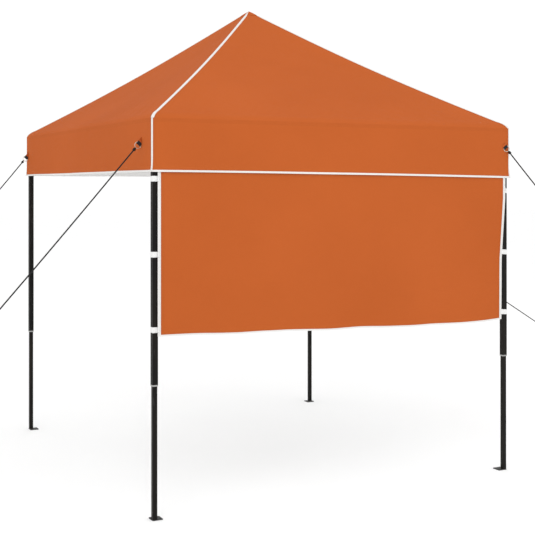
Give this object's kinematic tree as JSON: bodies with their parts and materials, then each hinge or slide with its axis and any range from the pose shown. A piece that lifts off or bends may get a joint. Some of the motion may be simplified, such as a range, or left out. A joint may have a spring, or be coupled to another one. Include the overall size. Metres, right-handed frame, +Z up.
{
  "type": "pop-up shelter",
  "caption": "Square pop-up tarp shelter with pyramid canopy, valance, half-height side wall, telescopic legs, guy lines and a folding scissor frame.",
  "frame": {"origin": "on the ground under the middle of the four legs", "axes": "+Z up, the half wall on the -Y side, +X to the right of someone facing the wall"},
  "size_m": [5.5212, 2.5289, 2.992],
  "materials": {
    "canopy_fabric": "coated polyester oxford weave",
    "frame_paint": "satin black powder coat",
    "bracket_plastic": "moulded",
    "button_plastic": "moulded",
    "foot_plate": "satin",
    "cord": "braided",
    "tape": "woven tape",
    "ring_metal": "nickel plated",
    "pole_cap": "moulded"
  },
  "bodies": {
    "peak": {"peak_hub": "bracket_plastic", "peak_pole": "frame_paint", "canopy": "canopy_fabric"},
    "front_inner_bar": {"front_inner_bar": "frame_paint"},
    "front_middle_top": {"front_middle_top_bracket": "bracket_plastic", "front_wall": "canopy_fabric"},
    "front_middle_low": {"front_middle_low_bracket": "bracket_plastic"},
    "front_rising_1": {"front_rising_bar_1": "frame_paint"},
    "front_falling_1": {"front_falling_bar_1": "frame_paint"},
    "front_rising_2": {"front_rising_bar_2": "frame_paint"},
    "front_falling_2": {"front_falling_bar_2": "frame_paint"},
    "right_inner_bar": {"right_inner_bar": "frame_paint"},
    "right_middle_top": {"right_middle_top_bracket": "bracket_plastic"},
    "right_middle_low": {"right_middle_low_bracket": "bracket_plastic"},
    "right_rising_1": {"right_rising_bar_1": "frame_paint"},
    "right_falling_1": {"right_falling_bar_1": "frame_paint"},
    "right_rising_2": {"right_rising_bar_2": "frame_paint"},
    "right_falling_2": {"right_falling_bar_2": "frame_paint"},
    "back_inner_bar": {"back_inner_bar": "frame_paint"},
    "back_middle_top": {"back_middle_top_bracket": "bracket_plastic"},
    "back_middle_low": {"back_middle_low_bracket": "bracket_plastic"},
    "back_rising_1": {"back_rising_bar_1": "frame_paint"},
    "back_falling_1": {"back_falling_bar_1": "frame_paint"},
    "back_rising_2": {"back_rising_bar_2": "frame_paint"},
    "back_falling_2": {"back_falling_bar_2": "frame_paint"},
    "left_inner_bar": {"left_inner_bar": "frame_paint"},
    "left_middle_top": {"left_middle_top_bracket": "bracket_plastic"},
    "left_middle_low": {"left_middle_low_bracket": "bracket_plastic"},
    "left_rising_1": {"left_rising_bar_1": "frame_paint"},
    "left_falling_1": {"left_falling_bar_1": "frame_paint"},
    "left_rising_2": {"left_rising_bar_2": "frame_paint"},
    "left_falling_2": {"left_falling_bar_2": "frame_paint"},
    "front_left_leg": {"front_left_upper_tube": "frame_paint", "front_left_leg_fittings": "bracket_plastic", "front_left_guy_line": "cord"},
    "front_left_slider": {"front_left_slider": "bracket_plastic"},
    "front_left_lower_leg": {"front_left_lower_tube": "frame_paint", "front_left_foot": "foot_plate"},
    "front_left_button": {"front_left_lock_button": "button_plastic"},
    "front_right_leg": {"front_right_upper_tube": "frame_paint", "front_right_leg_fittings": "bracket_plastic", "front_right_guy_line": "cord"},
    "front_right_slider": {"front_right_slider": "bracket_plastic"},
    "front_right_lower_leg": {"front_right_lower_tube": "frame_paint", "front_right_foot": "foot_plate"},
    "front_right_button": {"front_right_lock_button": "button_plastic"},
    "back_right_leg": {"back_right_upper_tube": "frame_paint", "back_right_leg_fittings": "bracket_plastic", "back_right_guy_line": "cord"},
    "back_right_slider": {"back_right_slider": "bracket_plastic"},
    "back_right_lower_leg": {"back_right_lower_tube": "frame_paint", "back_right_foot": "foot_plate"},
    "back_right_button": {"back_right_lock_button": "button_plastic"},
    "back_left_leg": {"back_left_upper_tube": "frame_paint", "back_left_leg_fittings": "bracket_plastic", "back_left_guy_line": "cord"},
    "back_left_slider": {"back_left_slider": "bracket_plastic"},
    "back_left_lower_leg": {"back_left_lower_tube": "frame_paint", "back_left_foot": "foot_plate"},
    "back_left_button": {"back_left_lock_button": "button_plastic"}
  },
  "joints": [
    {"name": "fold", "type": "hinge", "parent": "peak", "child": "front_inner_bar", "pos_m": [0, -0.038, 1.935], "axis": [-1, 0, 0], "range_deg": [0, 75.4], "deforming": ["canopy", "front_wall"]},
    {"name": "front_middle_pivot", "type": "hinge", "parent": "front_inner_bar", "child": "front_middle_top", "pos_m": [0, -1.17, 2.105], "axis": [-1, 0, 0], "range_deg": [-75.4, 0]},
    {"name": "front_rising_pivot_1", "type": "hinge", "parent": "front_middle_top", "child": "front_rising_1", "pos_m": [-0.03, -1.2, 2.105], "axis": [0, -1, 0], "range_deg": [0, 75.4]},
    {"name": "front_cross_pivot_1", "type": "hinge", "parent": "front_rising_1", "child": "front_falling_1", "pos_m": [-0.596, -1.2, 2.02], "axis": [0, -1, 0], "range_deg": [-150.8, 0]},
    {"name": "front_rising_pivot_2", "type": "hinge", "parent": "front_middle_top", "child": "front_rising_2", "pos_m": [0.03, -1.2, 2.105], "axis": [0, -1, 0], "range_deg": [-75.4, 0]},
    {"name": "front_cross_pivot_2", "type": "hinge", "parent": "front_rising_2", "child": "front_falling_2", "pos_m": [0.596, -1.2, 2.02], "axis": [0, -1, 0], "range_deg": [0, 150.8]},
    {"name": "front_low_pivot", "type": "hinge", "parent": "front_falling_1", "child": "front_middle_low", "pos_m": [-0.03, -1.2, 1.935], "axis": [0, -1, 0], "range_deg": [0, 75.4]},
    {"name": "right_inner_fold", "type": "hinge", "parent": "peak", "child": "right_inner_bar", "pos_m": [0.038, 0, 1.935], "axis": [0, -1, 0], "range_deg": [0, 75.4]},
    {"name": "right_middle_pivot", "type": "hinge", "parent": "right_inner_bar", "child": "right_middle_top", "pos_m": [1.17, 0, 2.105], "axis": [0, -1, 0], "range_deg": [-75.4, 0]},
    {"name": "right_rising_pivot_1", "type": "hinge", "parent": "right_middle_top", "child": "right_rising_1", "pos_m": [1.2, -0.03, 2.105], "axis": [1, 0, 0], "range_deg": [0, 75.4]},
    {"name": "right_cross_pivot_1", "type": "hinge", "parent": "right_rising_1", "child": "right_falling_1", "pos_m": [1.2, -0.596, 2.02], "axis": [1, 0, 0], "range_deg": [-150.8, 0]},
    {"name": "right_rising_pivot_2", "type": "hinge", "parent": "right_middle_top", "child": "right_rising_2", "pos_m": [1.2, 0.03, 2.105], "axis": [1, 0, 0], "range_deg": [-75.4, 0]},
    {"name": "right_cross_pivot_2", "type": "hinge", "parent": "right_rising_2", "child": "right_falling_2", "pos_m": [1.2, 0.596, 2.02], "axis": [1, 0, 0], "range_deg": [0, 150.8]},
    {"name": "right_low_pivot", "type": "hinge", "parent": "right_falling_1", "child": "right_middle_low", "pos_m": [1.2, -0.03, 1.935], "axis": [1, 0, 0], "range_deg": [0, 75.4]},
    {"name": "back_inner_fold", "type": "hinge", "parent": "peak", "child": "back_inner_bar", "pos_m": [0, 0.038, 1.935], "axis": [1, 0, 0], "range_deg": [0, 75.4]},
    {"name": "back_middle_pivot", "type": "hinge", "parent": "back_inner_bar", "child": "back_middle_top", "pos_m": [0, 1.17, 2.105], "axis": [1, 0, 0], "range_deg": [-75.4, 0]},
    {"name": "back_rising_pivot_1", "type": "hinge", "parent": "back_middle_top", "child": "back_rising_1", "pos_m": [0.03, 1.2, 2.105], "axis": [0, 1, 0], "range_deg": [0, 75.4]},
    {"name": "back_cross_pivot_1", "type": "hinge", "parent": "back_rising_1", "child": "back_falling_1", "pos_m": [0.596, 1.2, 2.02], "axis": [0, 1, 0], "range_deg": [-150.8, 0]},
    {"name": "back_rising_pivot_2", "type": "hinge", "parent": "back_middle_top", "child": "back_rising_2", "pos_m": [-0.03, 1.2, 2.105], "axis": [0, 1, 0], "range_deg": [-75.4, 0]},
    {"name": "back_cross_pivot_2", "type": "hinge", "parent": "back_rising_2", "child": "back_falling_2", "pos_m": [-0.596, 1.2, 2.02], "axis": [0, 1, 0], "range_deg": [0, 150.8]},
    {"name": "back_low_pivot", "type": "hinge", "parent": "back_falling_1", "child": "back_middle_low", "pos_m": [0.03, 1.2, 1.935], "axis": [0, 1, 0], "range_deg": [0, 75.4]},
    {"name": "left_inner_fold", "type": "hinge", "parent": "peak", "child": "left_inner_bar", "pos_m": [-0.038, 0, 1.935], "axis": [0, 1, 0], "range_deg": [0, 75.4]},
    {"name": "left_middle_pivot", "type": "hinge", "parent": "left_inner_bar", "child": "left_middle_top", "pos_m": [-1.17, 0, 2.105], "axis": [0, 1, 0], "range_deg": [-75.4, 0]},
    {"name": "left_rising_pivot_1", "type": "hinge", "parent": "left_middle_top", "child": "left_rising_1", "pos_m": [-1.2, 0.03, 2.105], "axis": [-1, 0, 0], "range_deg": [0, 75.4]},
    {"name": "left_cross_pivot_1", "type": "hinge", "parent": "left_rising_1", "child": "left_falling_1", "pos_m": [-1.2, 0.596, 2.02], "axis": [-1, 0, 0], "range_deg": [-150.8, 0]},
    {"name": "left_rising_pivot_2", "type": "hinge", "parent": "left_middle_top", "child": "left_rising_2", "pos_m": [-1.2, -0.03, 2.105], "axis": [-1, 0, 0], "range_deg": [-75.4, 0]},
    {"name": "left_cross_pivot_2", "type": "hinge", "parent": "left_rising_2", "child": "left_falling_2", "pos_m": [-1.2, -0.596, 2.02], "axis": [-1, 0, 0], "range_deg": [0, 150.8]},
    {"name": "left_low_pivot", "type": "hinge", "parent": "left_falling_1", "child": "left_middle_low", "pos_m": [-1.2, 0.03, 1.935], "axis": [-1, 0, 0], "range_deg": [0, 75.4]},
    {"name": "front_left_leg_pivot", "type": "hinge", "parent": "front_falling_1", "child": "front_left_leg", "pos_m": [-1.162, -1.2, 2.105], "axis": [0, -1, 0], "range_deg": [0, 75.4]},
    {"name": "front_left_slider_pivot", "type": "hinge", "parent": "front_rising_1", "child": "front_left_slider", "pos_m": [-1.162, -1.2, 1.935], "axis": [0, -1, 0], "range_deg": [-75.4, 0]},
    {"name": "front_left_telescope", "type": "slide", "parent": "front_left_leg", "child": "front_left_lower_leg", "axis": [0, 0, 1], "range_m": [0, 0.6]},
    {"name": "front_left_button_press", "type": "slide", "parent": "front_left_slider", "child": "front_left_button", "axis": [-1, 0, 0], "range_m": [0, 0.003], "stiffness_N_per_m": 600},
    {"name": "front_right_leg_pivot", "type": "hinge", "parent": "right_falling_1", "child": "front_right_leg", "pos_m": [1.2, -1.162, 2.105], "axis": [1, 0, 0], "range_deg": [0, 75.4]},
    {"name": "front_right_slider_pivot", "type": "hinge", "parent": "right_rising_1", "child": "front_right_slider", "pos_m": [1.2, -1.162, 1.935], "axis": [1, 0, 0], "range_deg": [-75.4, 0]},
    {"name": "front_right_telescope", "type": "slide", "parent": "front_right_leg", "child": "front_right_lower_leg", "axis": [0, 0, 1], "range_m": [0, 0.6]},
    {"name": "front_right_button_press", "type": "slide", "parent": "front_right_slider", "child": "front_right_button", "axis": [0, -1, 0], "range_m": [0, 0.003], "stiffness_N_per_m": 600},
    {"name": "back_right_leg_pivot", "type": "hinge", "parent": "back_falling_1", "child": "back_right_leg", "pos_m": [1.162, 1.2, 2.105], "axis": [0, 1, 0], "range_deg": [0, 75.4]},
    {"name": "back_right_slider_pivot", "type": "hinge", "parent": "back_rising_1", "child": "back_right_slider", "pos_m": [1.162, 1.2, 1.935], "axis": [0, 1, 0], "range_deg": [-75.4, 0]},
    {"name": "back_right_telescope", "type": "slide", "parent": "back_right_leg", "child": "back_right_lower_leg", "axis": [0, 0, 1], "range_m": [0, 0.6]},
    {"name": "back_right_button_press", "type": "slide", "parent": "back_right_slider", "child": "back_right_button", "axis": [1, 0, 0], "range_m": [0, 0.003], "stiffness_N_per_m": 600},
    {"name": "back_left_leg_pivot", "type": "hinge", "parent": "left_falling_1", "child": "back_left_leg", "pos_m": [-1.2, 1.162, 2.105], "axis": [-1, 0, 0], "range_deg": [0, 75.4]},
    {"name": "back_left_slider_pivot", "type": "hinge", "parent": "left_rising_1", "child": "back_left_slider", "pos_m": [-1.2, 1.162, 1.935], "axis": [-1, 0, 0], "range_deg": [-75.4, 0]},
    {"name": "back_left_telescope", "type": "slide", "parent": "back_left_leg", "child": "back_left_lower_leg", "axis": [0, 0, 1], "range_m": [0, 0.6]},
    {"name": "back_left_button_press", "type": "slide", "parent": "back_left_slider", "child": "back_left_button", "axis": [0, 1, 0], "range_m": [0, 0.003], "stiffness_N_per_m": 600}
  ],
  "couplings": [
    {"joint": "front_middle_pivot", "follows": "fold", "ratio": -1},
    {"joint": "front_rising_pivot_1", "follows": "fold", "ratio": 1},
    {"joint": "front_cross_pivot_1", "follows": "fold", "ratio": -2},
    {"joint": "front_rising_pivot_2", "follows": "fold", "ratio": -1},
    {"joint": "front_cross_pivot_2", "follows": "fold", "ratio": 2},
    {"joint": "front_low_pivot", "follows": "fold", "ratio": 1},
    {"joint": "right_inner_fold", "follows": "fold", "ratio": 1},
    {"joint": "right_middle_pivot", "follows": "fold", "ratio": -1},
    {"joint": "right_rising_pivot_1", "follows": "fold", "ratio": 1},
    {"joint": "right_cross_pivot_1", "follows": "fold", "ratio": -2},
    {"joint": "right_rising_pivot_2", "follows": "fold", "ratio": -1},
    {"joint": "right_cross_pivot_2", "follows": "fold", "ratio": 2},
    {"joint": "right_low_pivot", "follows": "fold", "ratio": 1},
    {"joint": "back_inner_fold", "follows": "fold", "ratio": 1},
    {"joint": "back_middle_pivot", "follows": "fold", "ratio": -1},
    {"joint": "back_rising_pivot_1", "follows": "fold", "ratio": 1},
    {"joint": "back_cross_pivot_1", "follows": "fold", "ratio": -2},
    {"joint": "back_rising_pivot_2", "follows": "fold", "ratio": -1},
    {"joint": "back_cross_pivot_2", "follows": "fold", "ratio": 2},
    {"joint": "back_low_pivot", "follows": "fold", "ratio": 1},
    {"joint": "left_inner_fold", "follows": "fold", "ratio": 1},
    {"joint": "left_middle_pivot", "follows": "fold", "ratio": -1},
    {"joint": "left_rising_pivot_1", "follows": "fold", "ratio": 1},
    {"joint": "left_cross_pivot_1", "follows": "fold", "ratio": -2},
    {"joint": "left_rising_pivot_2", "follows": "fold", "ratio": -1},
    {"joint": "left_cross_pivot_2", "follows": "fold", "ratio": 2},
    {"joint": "left_low_pivot", "follows": "fold", "ratio": 1},
    {"joint": "front_left_leg_pivot", "follows": "fold", "ratio": 1},
    {"joint": "front_left_slider_pivot", "follows": "fold", "ratio": -1},
    {"joint": "front_right_leg_pivot", "follows": "fold", "ratio": 1},
    {"joint": "front_right_slider_pivot", "follows": "fold", "ratio": -1},
    {"joint": "back_right_leg_pivot", "follows": "fold", "ratio": 1},
    {"joint": "back_right_slider_pivot", "follows": "fold", "ratio": -1},
    {"joint": "back_left_leg_pivot", "follows": "fold", "ratio": 1},
    {"joint": "back_left_slider_pivot", "follows": "fold", "ratio": -1}
  ]
}
